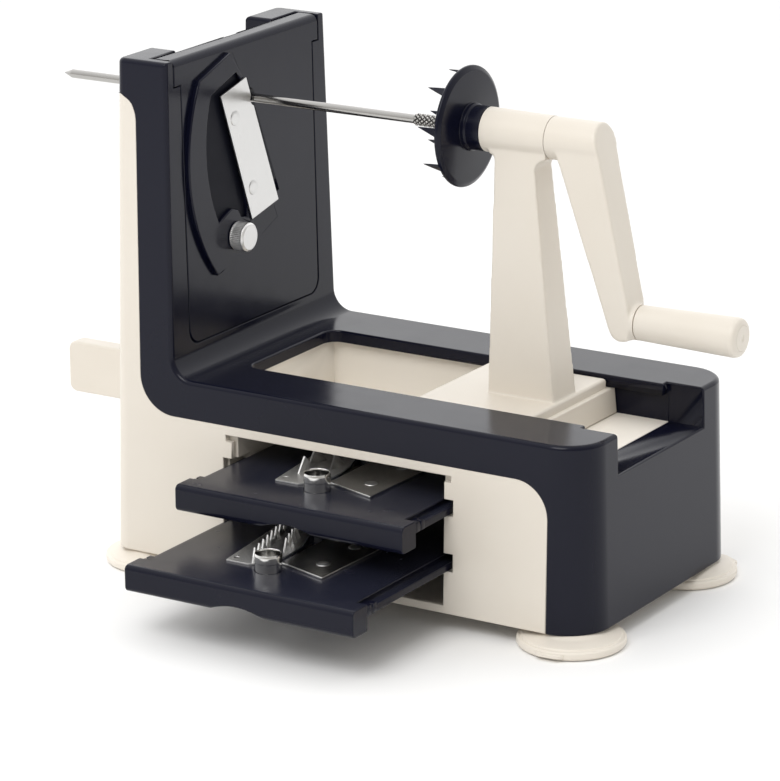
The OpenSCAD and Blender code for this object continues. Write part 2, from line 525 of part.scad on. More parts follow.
// steel strip with two rows of upright teeth, coarse or fine
module stored_comb(d, z, fine) color(steel) place() difference() {
  union() {
    translate([px, d, z + 0.02]) linear_extrude(1) polygon([[-29, 33.4], [-14.4, 33.4], [-9.6, 38.6], [-5.6, 45.5], [-4.4, 53], [-4.5, 62], [-6.6, 74], [-13, 90.6], [-18, 95.4], [-25, 98], [-36.6, 97], [-33, 66]]);
    if (fine) {
      teeth([px - 14, d + 36, z + 0.5], 15, 8, 7.3, 5.4, 8.6);
      teeth([px - 8.4, d + 58, z + 0.5], 20, 5, 7.3, 5.4, 8.6);
    } else {
      teeth([px - 23.6, d + 47.6, z + 0.5], 12, 3, 16.5, 14, 9.4);
      teeth([px - 12.5, d + 62, z + 0.5], 19, 2, 16.5, 12.5, 9.4);
    }
  }
  for (q = rivet_xy(d)) translate([q[0], q[1], z - 1]) cylinder(h = 4, r = 1.55);
}
module stored_ring(d, z) color(steel) place() translate([px - 1.4, d + 32.6, z - pan_t - fl_t]) difference() {
  rotate_extrude() polygon([[0, 0], [7.3, 0], [7.3, pan_t + fl_t + 5], [7.55, pan_t + fl_t + 5.2], [7.1, pan_t + fl_t + 10], [0, pan_t + fl_t + 10]]);
  translate([0, 0, -1]) cylinder(h = 24, r = 6.6);
}
module stored_rivets(d, z) color(steel) place() for (i = [0 : 3]) let (p = rivet_xy(d)[i]) {
  translate([p[0], p[1], z - pan_t - fl_t]) cylinder(h = pan_t + fl_t + (i < 2 ? 1.5 : 0.9), r = 1.5);
  if (i < 2) translate([p[0], p[1], z + 1.44]) cylinder(h = 0.6, r = 3.7);
}
module upper_plate() stored_plate(-upper_out, up_z);
module upper_blade() stored_blade(-upper_out, up_z);
module upper_comb() stored_comb(-upper_out, up_z, false);
module upper_ring() stored_ring(-upper_out, up_z);
module upper_rivets() stored_rivets(-upper_out, up_z);
module lower_plate() stored_plate(-lower_out, lo_z);
module lower_blade() stored_blade(-lower_out, lo_z);
module lower_comb() stored_comb(-lower_out, lo_z, true);
module lower_ring() stored_ring(-lower_out, lo_z);
module lower_rivets() stored_rivets(-lower_out, lo_z);

lower_body();
top_cover();
base_plate();
slide_tray();
left_rack();
right_rack();
side_grip();
grip_screws();
base_screws();
rack_screws();
tray_screws();
cover_screws();
foot_front_left();
foot_back_left();
foot_front_right();
foot_back_right();
spiral_plate();
blade_carrier();
spiral_blade();
spiral_rivets();
thumb_stud();
thumb_nut();
carriage_base();
carriage_post();
carriage_screws();
front_bush();
rear_bush();
crank_shaft();
drive_disc();
disc_pin();
crank_arm();
grip_pin();
grip_washer();
crank_grip();
grip_cap();
skewer_rod();
upper_plate();
upper_blade();
upper_comb();
upper_ring();
upper_rivets();
lower_plate();
lower_blade();
lower_comb();
lower_ring();
lower_rivets();
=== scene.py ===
import bpy, bmesh, math
from mathutils import Vector, Matrix


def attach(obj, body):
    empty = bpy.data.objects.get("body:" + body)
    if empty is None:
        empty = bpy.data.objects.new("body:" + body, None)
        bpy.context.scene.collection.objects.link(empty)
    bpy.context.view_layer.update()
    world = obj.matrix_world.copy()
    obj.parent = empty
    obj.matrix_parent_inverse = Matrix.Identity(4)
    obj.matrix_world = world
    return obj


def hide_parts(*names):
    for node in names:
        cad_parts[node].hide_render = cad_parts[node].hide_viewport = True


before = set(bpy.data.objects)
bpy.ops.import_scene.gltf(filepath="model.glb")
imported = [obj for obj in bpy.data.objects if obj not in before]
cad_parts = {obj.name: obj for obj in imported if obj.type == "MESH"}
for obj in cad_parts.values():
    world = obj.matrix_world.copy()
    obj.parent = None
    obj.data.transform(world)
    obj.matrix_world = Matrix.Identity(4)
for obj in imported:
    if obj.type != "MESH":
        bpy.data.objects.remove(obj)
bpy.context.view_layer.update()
scene = bpy.context.scene
MM = 0.001
CX, CY = 89.65, 36.75        # design coordinates: X from the blade face, Y from the front face
YC, AXZ = 84.0, 256.0        # middle of the body, height of the crank axis
GRZ = AXZ - 95.2             # height of the grip axis
XL, XR, DEPTH, BED, TOP = -40.0, 261.0, 168.0, 113.5, 290.0
DRAFT, LEAN = math.tan(math.radians(1.43)), math.tan(math.radians(0.95))


def P(x, y, z):
    return Vector(((x - CX) * MM, (y - CY) * MM, z * MM))


def D(co):
    return co.x / MM + CX, co.y / MM + CY, co.z / MM


# ------------------------------------------------------------------ materials
def new_mat(name):
    m = bpy.data.materials.new(name)
    m.use_nodes = True
    nt = m.node_tree
    nt.nodes.clear()
    out = nt.nodes.new("ShaderNodeOutputMaterial")
    b = nt.nodes.new("ShaderNodeBsdfPrincipled")
    nt.links.new(b.outputs[0], out.inputs[0])
    tc = nt.nodes.new("ShaderNodeTexCoord")
    return m, nt, b, tc.outputs["Object"]


def noise(nt, co, scale, detail=3.0, rough=0.55):
    n = nt.nodes.new("ShaderNodeTexNoise")
    n.inputs["Scale"].default_value = scale
    n.inputs["Detail"].default_value = detail
    n.inputs["Roughness"].default_value = rough
    nt.links.new(co, n.inputs["Vector"])
    return n.outputs["Fac"]


def ramp(nt, fac, a, b, lo=0.3, hi=0.7):
    r = nt.nodes.new("ShaderNodeMapRange")
    r.inputs["From Min"].default_value = lo
    r.inputs["From Max"].default_value = hi
    r.inputs["To Min"].default_value = a
    r.inputs["To Max"].default_value = b
    nt.links.new(fac, r.inputs["Value"])
    return r.outputs[0]


def two_colours(nt, fac, a, b, lo=0.3, hi=0.7):
    r = nt.nodes.new("ShaderNodeValToRGB")
    r.color_ramp.elements[0].position = lo
    r.color_ramp.elements[1].position = hi
    r.color_ramp.elements[0].color = (*a, 1)
    r.color_ramp.elements[1].color = (*b, 1)
    nt.links.new(fac, r.inputs["Fac"])
    return r.outputs["Color"]


def bump(nt, b, height, strength, dist):
    n = nt.nodes.new("ShaderNodeBump")
    n.inputs["Strength"].default_value = strength
    n.inputs["Distance"].default_value = dist
    nt.links.new(height, n.inputs["Height"])
    nt.links.new(n.outputs["Normal"], b.inputs["Normal"])


def plastic(name, ca, cb, rough, ior, grain, depth, blotch=14.0, coat=0.0):
    m, nt, b, co = new_mat(name)
    nt.links.new(two_colours(nt, noise(nt, co, blotch, 4), ca, cb), b.inputs["Base Color"])
    nt.links.new(ramp(nt, noise(nt, co, 55.0, 3), rough - 0.035, rough + 0.035), b.inputs["Roughness"])
    b.inputs["IOR"].default_value = ior
    if coat:
        b.inputs["Coat Weight"].default_value = coat
        b.inputs["Coat Roughness"].default_value = 0.2
    bump(nt, b, noise(nt, co, grain, 2, 0.6), 0.35, depth)
    return m


def steel(name, col, rough, stretch, scale, strength, vary=0.9, spread=0.06):
    m, nt, b, co = new_mat(name)
    mp = nt.nodes.new("ShaderNodeMapping")
    mp.inputs["Scale"].default_value = stretch
    nt.links.new(co, mp.inputs["Vector"])
    fine = noise(nt, mp.outputs[0], scale, 4, 0.65)
    nt.links.new(two_colours(nt, fine, [c * vary for c in col], col), b.inputs["Base Color"])
    nt.links.new(ramp(nt, fine, rough - spread, rough + spread), b.inputs["Roughness"])
    b.inputs["Metallic"].default_value = 1.0
    bump(nt, b, fine, strength, 0.00004)
    return m


CREAM = plastic("ivory_plastic", (0.715, 0.66, 0.58), (0.74, 0.69, 0.615), 0.38, 1.45, 1500.0, 0.00002)
# the ivory made lighter for the channel tray: painted light standing in for light inside the channel's shade
TRAY_PAINTED_LIGHT = plastic("tray_ivory_painted_light", (0.875, 0.825, 0.745), (0.895, 0.85, 0.78), 0.40, 1.45, 1500.0, 0.00002)
NAVY = plastic("blue_black_plastic", (0.0036, 0.0042, 0.0125), (0.0044, 0.0050, 0.0140), 0.20, 1.31, 1900.0, 0.000006)
NAVY_DULL = plastic("blue_black_recess", (0.0060, 0.0066, 0.0120), (0.0072, 0.0078, 0.0140), 0.42, 1.17, 1200.0, 0.00003)
# lighter blue-black for the stored plates' upper faces: painted light standing in for the light on the tops
PLATE_TOP_PAINTED_LIGHT = plastic("stored_plate_top_painted_light", (0.0130, 0.0142, 0.0255), (0.0150, 0.0163, 0.0285), 0.24, 1.47, 1700.0, 0.000006)
RUBBER = plastic("foot_elastomer", (0.80, 0.74, 0.655), (0.84, 0.785, 0.70), 0.46, 1.45, 1100.0, 0.00004)
POM = plastic("bush_plastic", (0.012, 0.012, 0.022), (0.016, 0.016, 0.028), 0.30, 1.45, 1500.0, 0.00003)
ROD = steel("rod_steel", (0.44, 0.43, 0.415), 0.17, (0.05, 1.0, 1.0), 1500.0, 0.012, 0.95)
# near-black steel for the knurl's grooves: painted shade in the hollows
KNURL_PIT_PAINTED_SHADE = steel("knurl_grooves_painted_shade", (0.085, 0.083, 0.08), 0.42, (1.0, 1.0, 1.0), 1400.0, 0.03, 0.8)
BLADE = steel("stored_blade_steel", (0.78, 0.775, 0.765), 0.24, (1.0, 0.3, 1.0), 3200.0, 0.004, 0.975, 0.012)
COMB = steel("tooth_steel", (0.90, 0.895, 0.885), 0.44, (1.0, 1.0, 0.3), 900.0, 0.05)
RING = steel("ring_steel", (0.74, 0.735, 0.72), 0.12, (1.0, 1.0, 0.08), 1500.0, 0.01, 0.96)
BLADE_V = steel("upright_blade_steel", (0.60, 0.597, 0.59), 0.29, (1.0, 1.0, 0.2), 3600.0, 0.006, 0.98, 0.02)
TURNED = steel("turned_steel", (0.86, 0.855, 0.845), 0.34, (1.0, 1.0, 1.0), 900.0, 0.03, 0.94)
NUT_RIM = steel("fluted_rim_steel", (0.90, 0.895, 0.885), 0.42, (1.0, 1.0, 1.0), 900.0, 0.03, 0.94)
ZINC = steel("screw_steel", (0.6, 0.6, 0.58), 0.33, (1.0, 1.0, 1.0), 700.0, 0.1)


# ------------------------------------------------------------------ mesh tools
def finish_mesh(me, angle=34.0):
    """Smooth shading, with edges steeper than angle kept sharp."""
    bm = bmesh.new()
    bm.from_mesh(me)
    for f in bm.faces:
        f.smooth = True
    for e in bm.edges:
        e.smooth = not (len(e.link_faces) == 2 and e.calc_face_angle(0.0) > math.radians(angle))
    bm.to_mesh(me)
    bm.free()


def add_obj(me, name, mat, body, nodes=()):
    o = bpy.data.objects.new(name, me)
    scene.collection.objects.link(o)
    me.materials.clear()
    me.materials.append(mat)
    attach(o, body)
    if nodes:
        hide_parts(*nodes)
    return o


def from_bm(bm, name, mat, body, nodes=(), angle=34.0):
    bmesh.ops.recalc_face_normals(bm, faces=bm.faces)
    me = bpy.data.meshes.new(name)
    bm.to_mesh(me)
    bm.free()
    finish_mesh(me, angle)
    return add_obj(me, name, mat, body, nodes)


def weighted(o):
    w = o.modifiers.new("normals", "WEIGHTED_NORMAL")
    w.keep_sharp = True
    w.weight = 100
    return o


def soften(node, mat, body, radius, wmax, segs=3, sharp=28.0, clean=0.5, move=None, plug=()):
    """A copy of a CAD piece with its moulded edges rounded: radius(x, y, z, n1, n2, d, convex) gives each edge's radius in mm."""
    bm = bmesh.new()
    bm.from_mesh(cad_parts[node].data)
    bmesh.ops.remove_doubles(bm, verts=bm.verts, dist=3e-6)
    if plug:
        # screw holes that another piece covers are closed, so the faces around them stay whole
        gone = [v for v in bm.verts if any(math.hypot(D(v.co)[0] - x, D(v.co)[1] - y) < r for x, y, r in plug)]
        bmesh.ops.delete(bm, geom=gone, context="VERTS")
        bmesh.ops.holes_fill(bm, edges=[e for e in bm.edges if len(e.link_faces) == 1], sides=0)
        bmesh.ops.recalc_face_normals(bm, faces=bm.faces)
    bmesh.ops.dissolve_limit(bm, angle_limit=math.radians(clean), verts=bm.verts, edges=bm.edges)
    lay = bm.edges.layers.float.new("bevel_weight_edge")
    for f in bm.faces:
        f.smooth = True
    for e in bm.edges:
        e.smooth = True
        if len(e.link_faces) != 2:
            continue
        a = e.calc_face_angle(0.0)
        if a < math.radians(sharp):
            continue
        m = (e.verts[0].co + e.verts[1].co) / 2
        d = (e.verts[1].co - e.verts[0].co).normalized()
        r = radius(*D(m), e.link_faces[0].normal, e.link_faces[1].normal, d, e.calc_face_angle_signed(0.0) > 0)
        if r > 0:
            e[lay] = min(1.0, r / wmax)
        else:
            e.smooth = False
    if move:
        for v in bm.verts:
            v.co = P(*move(*D(v.co)))
    me = bpy.data.meshes.new(node + "_skin")
    bm.to_mesh(me)
    bm.free()
    o = add_obj(me, node + "_skin", mat, body, [node])
    b = o.modifiers.new("edges", "BEVEL")
    b.limit_method = "WEIGHT"
    b.width = wmax * MM
    b.segments = segs
    b.use_clamp_overlap = False
    b.harden_normals = False
    return weighted(o)


def rounded(pts, radii, n=6):
    """Open polyline with its inner corners rounded."""
    out = []
    for i, p in enumerate(pts):
        r = radii[i]
        if r <= 0 or i in (0, len(pts) - 1):
            out.append(Vector(p))
            continue
        a, b, c = Vector(pts[i - 1]), Vector(p), Vector(pts[i + 1])
        u, v = (a - b).normalized(), (c - b).normalized()
        half = math.acos(max(-1, min(1, u.dot(v)))) / 2
        t = min(r / math.tan(half), 0.49 * (a - b).length, 0.49 * (c - b).length)
        r = t * math.tan(half)
        o = b + (u + v).normalized() * (r / math.sin(half))
        s, e = b + u * t - o, b + v * t - o
        ang = s.angle_signed(e)
        for k in range(n + 1):
            q = ang * k / n
            cs, sn = math.cos(-q), math.sin(-q)
            out.append(o + Vector((s.x * cs - s.y * sn, s.x * sn + s.y * cs)))
    return out


def lathe(bm, prof, axis, c, segs=96):
    """Turns a profile of (radius, height) about an axis through c, in mm. Points on the axis close the ends."""
    rings = []
    for r, h in prof:
        ring = []
        for k in range(segs if r > 1e-6 else 1):
            t = 2 * math.pi * k / segs
            a, b = r * math.cos(t), r * math.sin(t)
            p = (c[0] + h, c[1] + a, c[2] + b) if axis == "x" else (c[0] + a, c[1] + b, c[2] + h)
            ring.append(bm.verts.new(P(*p)))
        rings.append(ring)
    for u, v in zip(rings, rings[1:]):
        for k in range(segs):
            q = [u[k % len(u)], u[(k + 1) % len(u)], v[(k + 1) % len(v)], v[k % len(v)]]
            q = [w for i, w in enumerate(q) if w not in q[:i]]
            if len(q) > 2:
                bm.faces.new(q)
    return bm


def prism(bm, pts, lo, hi, axis):
    """Closed prism over an outline; axis is the extrusion direction, pts are the two other coordinates."""
    def at(p, h):
        return P(*((h, p[0], p[1]) if axis == "x" else (p[0], h, p[1]) if axis == "y" else (p[0], p[1], h)))
    a = [bm.verts.new(at(p, lo)) for p in pts]
    b = [bm.verts.new(at(p, hi)) for p in pts]
    faces = [bm.faces.new(a), bm.faces.new(b)]
    for i in range(len(pts)):
        j = (i + 1) % len(pts)
        faces.append(bm.faces.new((a[i], a[j], b[j], b[i])))
    return faces


def evaluated(o):
    dg = bpy.context.evaluated_depsgraph_get()
    dg.update()
    me = bpy.data.meshes.new_from_object(o.evaluated_get(dg))
    return me


def melt(bm, name, voxel, smooth, cuts):
    """Joins overlapping closed solids into one moulded form with soft inner and outer corners, then trims it with planes (point, normal): what lies on the normal's side goes."""
    bmesh.ops.recalc_face_normals(bm, faces=bm.faces)
    me = bpy.data.meshes.new(name)
    bm.to_mesh(me)
    bm.free()
    o = bpy.data.objects.new(name, me)
    scene.collection.objects.link(o)
    r = o.modifiers.new("r", "REMESH")
    r.mode = "VOXEL"
    r.voxel_size = voxel * MM
    s = o.modifiers.new("s", "SMOOTH")
    s.factor = 0.5
    s.iterations = smooth
    out = evaluated(o)
    bpy.data.objects.remove(o)
    bm = bmesh.new()
    bm.from_mesh(out)
    for co, no, zmin in cuts:
        fs = [f for f in bm.faces if all(v.co.z > zmin * MM for v in f.verts)]
        geom = list({v for f in fs for v in f.verts}) + list({e for f in fs for e in f.edges}) + fs
        cut = bmesh.ops.bisect_plane(bm, geom=geom, dist=1e-7, plane_co=co, plane_no=no, clear_outer=True)
        edges = [e for e in bm.edges if len(e.link_faces) == 1]
        if edges:
            bmesh.ops.holes_fill(bm, edges=edges, sides=0)
    me2 = bpy.data.meshes.new(name)
    bm.to_mesh(me2)
    bm.free()
    return me2


# ------------------------------------------------------------------ fixed body
def near(a, b, t=0.6):
    return abs(a - b) < t


def outline(x, y):
    """Distance to the body's plan outline, negative inside, and the outward direction."""
    r = 9.0 if x < 100 else 22.6
    cx = max(XL + 9.0, min(XR - 22.6, x))
    cy = max(r, min(DEPTH - r, y))
    dx, dy = x - cx, y - cy
    if dx and dy:
        l = math.hypot(dx, dy)
        return l - r, dx / l, dy / l
    best = max((XL - x, -1, 0), (x - XR, 1, 0), (-y, 0, -1), (y - DEPTH, 0, 1))
    return best


def drafted(x, y, z):
    """Mould draft: the walls spread towards the floor, the blade face of the tower leans back."""
    d, nx, ny = outline(x, y)
    w = max(0.0, min(1.0, (d + 11.0) / 5.0))
    o = (115.5 - z) * DRAFT * w
    dx = nx * o
    if z > 115.5:
        dx -= (z - 115.5) * LEAN * max(0.0, min(1.0, (x + 26.0) / 8.0))
    return x + dx, y + ny * o, z


def leaning(x, y, z):
    return x - (z - 115.5) * LEAN, y, z


def r_cover(x, y, z, n1, n2, d, convex):
    out = abs(outline(x, y)[0]) < 0.5
    if out:
        if near(z, 9, 0.3):
            return 0.5
        if near(z, TOP) and convex and max(n1.z, n2.z) > 0.5:
            return 2.6
        if near(z, BED) and convex and max(n1.z, n2.z) > 0.5:
            return 2.6
        if -0.6 < x < 13 and z > BED - 0.6 and convex:
            return 2.6
        if x > XR - 0.6 and z > 90.4:
            return 1.2 if convex else 0.0
        return 0.35 if convex else 0.0
    if not convex:
        return 0.0
    if near(z, BED) and max(n1.z, n2.z) > 0.5:
        return 1.1
    if near(z, TOP):
        return 2.0 if x < -16 else 0.9
    if near(x, 0):
        return 0.5
    if x > 230 and z > 90:
        return 0.6
    if z > 116 and x < -7:
        return 0.8
    return 0.0


def r_lower(x, y, z, n1, n2, d, convex):
    if not convex:
        return 0.0
    if abs(outline(x, y)[0]) < 0.5:
        if near(z, 9, 0.3):
            return 0.8
        if 12 < z < 88.5 and 25 < x < 190 and y < 1:
            return 0.6
        return 0.35
    if z > 112:
        return 0.8
    return 0.0


soften("top_cover", NAVY, "frame", r_cover, 2.6, 4, move=drafted)
soften("lower_body", CREAM, "frame", r_lower, 0.8, 3, move=drafted)

# raised parting bead between the channel wall and the crank end
bm = bmesh.new()
for y0, s in ((132.4, -1), (35.6, 1)):
    secs = []
    for i in range(13):
        z = 91.0 + 15.6 * i / 12
        secs.append([bm.verts.new(P(239.5 + 0.45 * math.cos(math.radians(t)), y0 + s * (0.5 * math.sin(math.radians(t)) - 0.1), z)) for t in range(0, 181, 30)])
    bm.faces.new(secs[0]); bm.faces.new(secs[-1])
    for u, v in zip(secs, secs[1:]):
        for q in range(len(u)):
            t = (q + 1) % len(u)
            bm.faces.new((u[q], u[t], v[t], v[q]))
from_bm(bm, "channel_parting_beads", NAVY, "frame", [], 50)
# the channel tray in the lightened ivory, painted light against the channel's shade
soften("slide_tray", TRAY_PAINTED_LIGHT, "frame", lambda x, y, z, a, b, d, c: 0.5 if c else 0.0, 0.5, 2)
for n in ("left_rack", "right_rack"):
    soften(n, CREAM, "frame", lambda x, y, z, a, b, d, c: 0.4 if c else 0.0, 0.4, 2)
soften("side_grip", CREAM, "frame", lambda x, y, z, a, b, d, c: 1.5 if c and x < -41 else 0.0, 1.5, 4)
soften("base_plate", CREAM, "frame", lambda x, y, z, a, b, d, c: 0.5 if c else 0.0, 0.5, 2)

# suction feet: a soft cup with a stepped rim and a lifting tab
for n, fx, fy, a in (("foot_front_left", -23.5, 15, 285), ("foot_back_left", -23.5, 143, 165), ("foot_front_right", 245, 15, 275), ("foot_back_right", 245, 143, 60)):
    R = 29.5
    prof = rounded([(0, 4.3), (12, 3.7), (R - 5, 0.0), (R - 1.2, 0.0), (R, 1.3), (R, 3.9), (R - 0.7, 4.7), (R - 2.3, 4.9), (R - 2.7, 5.7), (18, 7.3), (15, 8.95), (0, 8.95)],
                   [0, 6, 1.2, 0.8, 0.9, 0.6, 0.5, 0.3, 0.5, 4, 0.8, 0], 5)
    bm = bmesh.new()
    lathe(bm, prof, "z", (fx, fy, 0), 112)
    c, s = math.cos(math.radians(a)), math.sin(math.radians(a))
    tab = rounded([(R - 2.0, -8.5), (R + 0.8, -7.6), (R + 2.2, -5.2), (R + 2.2, 5.2), (R + 0.8, 7.6), (R - 2.0, 8.5)], [0, 3, 2, 2, 3, 0], 5)
    ring = [[bm.verts.new(P(fx + c * p.x - s * p.y, fy + s * p.x + c * p.y, h)) for p in [Vector((R - 2.0 + (q.x - R + 2.0) * k, q.y * (1 - (1 - k) * 0.1))) for q in tab]] for h, k in ((1.7, 0.86), (2.1, 1.0), (3.5, 1.0), (3.9, 0.86))]
    bm.faces.new(ring[0]); bm.faces.new(ring[-1])
    for u, v in zip(ring, ring[1:]):
        for q in range(len(u)):
            t = (q + 1) % len(u)
            bm.faces.new((u[q], u[t], v[t], v[q]))
    from_bm(bm, n + "_cup", RUBBER, "frame", [n], 40)

# ------------------------------------------------------------------ mounted blade plate
NY, NZ = 62.9, TOP - 108.7


def r_plate(x, y, z, n1, n2, d, convex):
    if not convex or math.hypot(y - YC, z - AXZ) < 8 or math.hypot(y - NY, z - NZ) < 4:
        return 0.0
    if z < 272 and abs(y - YC) < 50 and z > 140:
        return 0.0
    if near(z, TOP) or (near(x, 0) and z > 284):
        return 1.0
    if near(x, 0) or z > 274:
        return 0.55
    return 0.35


def seated(x, y, z):
    """The plate stands a little clear of its seat, so a fine gap shows all round."""
    if z < 273:
        if abs(y - YC) > 56:
            y -= math.copysign(0.5, y - YC)
        if z < 138:
            z += 0.95 * max(0.0, min(1.0, (x + 2.2) / 1.6)) - 0.45   # the edge slopes down into its seat behind
    elif abs(y - YC) > 70:
        y -= math.copysign(0.2, y - YC)
    return leaning(x, y, z)


soften("spiral_plate", NAVY, "frame", r_plate, 1.0, 3, move=seated)
carrier = soften("blade_carrier", NAVY, "frame", lambda x, y, z, a, b, d, c: (0.9 if c and near(x, 2.9, 0.2) and math.hypot(y - YC, z - AXZ) > 8 and math.hypot(y - NY, z - NZ) > 4 else 0.0), 0.9, 4, move=leaning)
carrier.data.materials.append(NAVY_DULL)
for f in carrier.data.polygons:
    c = D(f.center)
    if f.normal.x > 0.9 and near(c[0] + (c[2] - 115.5) * LEAN, 0.5, 0.15):
        f.material_index = 1

# fine parting lines beside the blade
bm = bmesh.new()
for line in (((69.2, TOP - 6.0), (75.2, TOP - 17.0)), ((106.0, TOP - 101.0), (109.0, TOP - 108.5), (93.0, TOP - 115.0))):
    for (y0, z0), (y1, z1) in zip(line, line[1:]):
        l = math.hypot(y1 - y0, z1 - z0)
        ny, nz = -(z1 - z0) / l * 0.2, (y1 - y0) / l * 0.2
        n = 8
        secs = []
        for k in range(n + 1):
            y, z = y0 + (y1 - y0) * k / n, z0 + (z1 - z0) * k / n
            secs.append([bm.verts.new(P(*leaning(x, y + ny * w, z + nz * w))) for w, x in ((-1, -0.06), (-0.55, 0.1), (0.55, 0.1), (1, -0.06))])
        bm.faces.new(secs[0]); bm.faces.new(secs[-1])
        for u, v in zip(secs, secs[1:]):
            for q in range(4):
                bm.faces.new((u[q], u[(q + 1) % 4], v[(q + 1) % 4], v[q]))
from_bm(bm, "plate_parting_lines", NAVY, "frame", [], 30)
soften("spiral_blade", BLADE_V, "frame", lambda x, y, z, a, b, d, c: 0.2 if c else 0.0, 0.2, 2, move=leaning)

# thumb nut with a fluted rim
NX = -(NZ - 115.5) * LEAN
bm = bmesh.new()
prof = rounded([(0, 12.15), (7.2, 12.15), (8.2, 11.2), (8.2, 3.6), (7.8, 3.15), (2.6, 3.15)], [0, 0.8, 0.6, 0.3, 0.3, 0], 5)
prof = [(p[0], p[1]) for p in prof]
dense = []
for (r0, h0), (r1, h1) in zip(prof, prof[1:]):
    n = max(1, int(math.hypot(r1 - r0, h1 - h0) / 0.5))
    dense += [(r0 + (r1 - r0) * k / n, h0 + (h1 - h0) * k / n) for k in range(n)]
dense.append(prof[-1])
lathe(bm, dense, "x", (0, NY, NZ), 288)
for v in bm.verts:
    x, y, z = D(v.co)
    r = math.hypot(y - NY, z - NZ)
    if r > 7.9 and 3.9 < x < 10.8:
        t = math.atan2(z - NZ, y - NY)
        k = 0.34 * (0.5 - 0.5 * math.cos(48 * t)) * min(1.0, (x - 3.9) / 0.5, (10.8 - x) / 0.5)
        q = (r - k) / r
        v.co = P(x, NY + (y - NY) * q, NZ + (z - NZ) * q)
for v in bm.verts:
    v.co.x += NX * MM
nut = from_bm(bm, "thumb_nut_knurled", NUT_RIM, "thumb_nut", ["thumb_nut"], 50)
nut.data.materials.append(BLADE_V)
for f in nut.data.polygons:
    if f.normal.x > 0.8:
        f.material_index = 1

# ------------------------------------------------------------------ carriage
def r_carriage(x, y, z, n1, n2, d, convex):
    if not convex:
        return 0.0
    return 1.9 if z > 111 and max(n1.z, n2.z) > 0.5 else 0.9


def shortened(x, y, z):
    """The lower block at the crank end leans in a little towards its top."""
    if x > 205:
        x -= 1.0 + 1.6 * max(0.0, min(1.0, (z - 92) / 16))
    return x, y, z


soften("carriage_base", CREAM, "carriage", r_carriage, 1.9, 4, move=shortened,
       plug=[(x, y, 2.3) for x in (168, 191) for y in (YC - 7, YC + 7)])

TOPZ = 111.7
bm = bmesh.new()
b0 = [(159.9, YC - 12.6), (201.3, YC - 12.6), (201.3, YC + 12.6), (159.9, YC + 12.6)]
t0 = [(162.4, YC - 9.4), (186.0, YC - 9.4), (186.0, YC + 9.4), (162.4, YC + 9.4)]
k = 8.0 / (251.0 - TOPZ)
lowr = [bm.verts.new(P(p[0] + (p[0] - q[0]) * k, p[1] + (p[1] - q[1]) * k, TOPZ - 8)) for p, q in zip(b0, t0)]
topr = [bm.verts.new(P(q[0], q[1], 251.0)) for q in t0]
bm.faces.new(lowr); bm.faces.new(topr)
for i in range(4):
    j = (i + 1) % 4
    bm.faces.new((lowr[i], lowr[j], topr[j], topr[i]))
lathe(bm, [(0, 146), (12.4, 146), (11.8, 202), (0, 202)], "x", (0, YC, AXZ), 128)
# arch under the barrel at its crank end, small fillet at its front end
arch = [(195.0 - 8.0 * math.cos(math.radians(t)), 237.2 + 8.0 * math.sin(math.radians(t))) for t in range(0, 91, 10)]
prism(bm, [(182, 228), (187.6, 232)] + arch + [(195, 250), (182, 250)], YC - 9.5, YC + 9.5, "y")
arch = [(158.4 + 4.0 * math.cos(math.radians(t)), 241.0 + 4.0 * math.sin(math.radians(t))) for t in range(0, 91, 15)]
prism(bm, [(166, 236), (162.3, 238)] + arch + [(158.4, 250), (166, 250)], YC - 9.4, YC + 9.4, "y")
prism(bm, [(140, 45), (228, 45), (228, 123), (140, 123)], 100, TOPZ - 0.6, "z")
me = melt(bm, "post", 0.7, 8, [(P(154.1, 0, 0), Vector((-1, 0, 0)), 230), (P(193.7, 0, 0), Vector((1, 0, 0)), 230), (P(0, 0, TOPZ), Vector((0, 0, -1)), -50)])
finish_mesh(me, 40)
add_obj(me, "carriage_post_moulded", CREAM, "carriage", ["carriage_post"])

# ------------------------------------------------------------------ crank
bm = bmesh.new()
hub = bmesh.new()
lathe(hub, [(0, 186), (11.75, 186), (11.75, 236), (0, 236)], "x", (0, YC, AXZ), 128)
bmesh.ops.recalc_face_normals(hub, faces=hub.faces)
bmesh.ops.bisect_plane(hub, geom=list(hub.verts) + list(hub.edges) + list(hub.faces), dist=1e-7, plane_co=P(225.9, 0, AXZ), plane_no=Vector((0.9766, 0, 0.2151)), clear_outer=True)
bmesh.ops.holes_fill(hub, edges=[e for e in hub.edges if len(e.link_faces) == 1], sides=0)
tmp = bpy.data.meshes.new("hub")
hub.to_mesh(tmp)
hub.free()
bm.from_mesh(tmp)
arm = [(199.6, AXZ), (225.9, AXZ), (243.3, AXZ - 79), (244.8, AXZ - 85.5), (244.8, AXZ - 104.6), (238.6, AXZ - 105.0), (235.4, AXZ - 103.4), (233.0, AXZ - 99.6), (230.6, AXZ - 92.6), (201.2, AXZ - 8)]
first = len(bm.verts)
prism(bm, arm, YC - 10, YC + 10, "y")
bm.verts.ensure_lookup_table()
for v in bm.verts[first:]:
    x, y, z = D(v.co)
    v.co.y = (YC - CY + (y - YC) * (1.10 - 0.13 * (AXZ - z) / 96)) * MM
lathe(bm, [(0, 234.5), (9.75, 234.5), (9.75, 254), (0, 254)], "x", (0, YC, GRZ), 96)
me = melt(bm, "arm", 0.7, 16, [(P(194.0, 0, 0), Vector((-1, 0, 0)), 100), (P(247.55, 0, 0), Vector((1, 0, 0)), 100)])
finish_mesh(me, 40)
add_obj(me, "crank_arm_moulded", CREAM, "crank", ["crank_arm"])

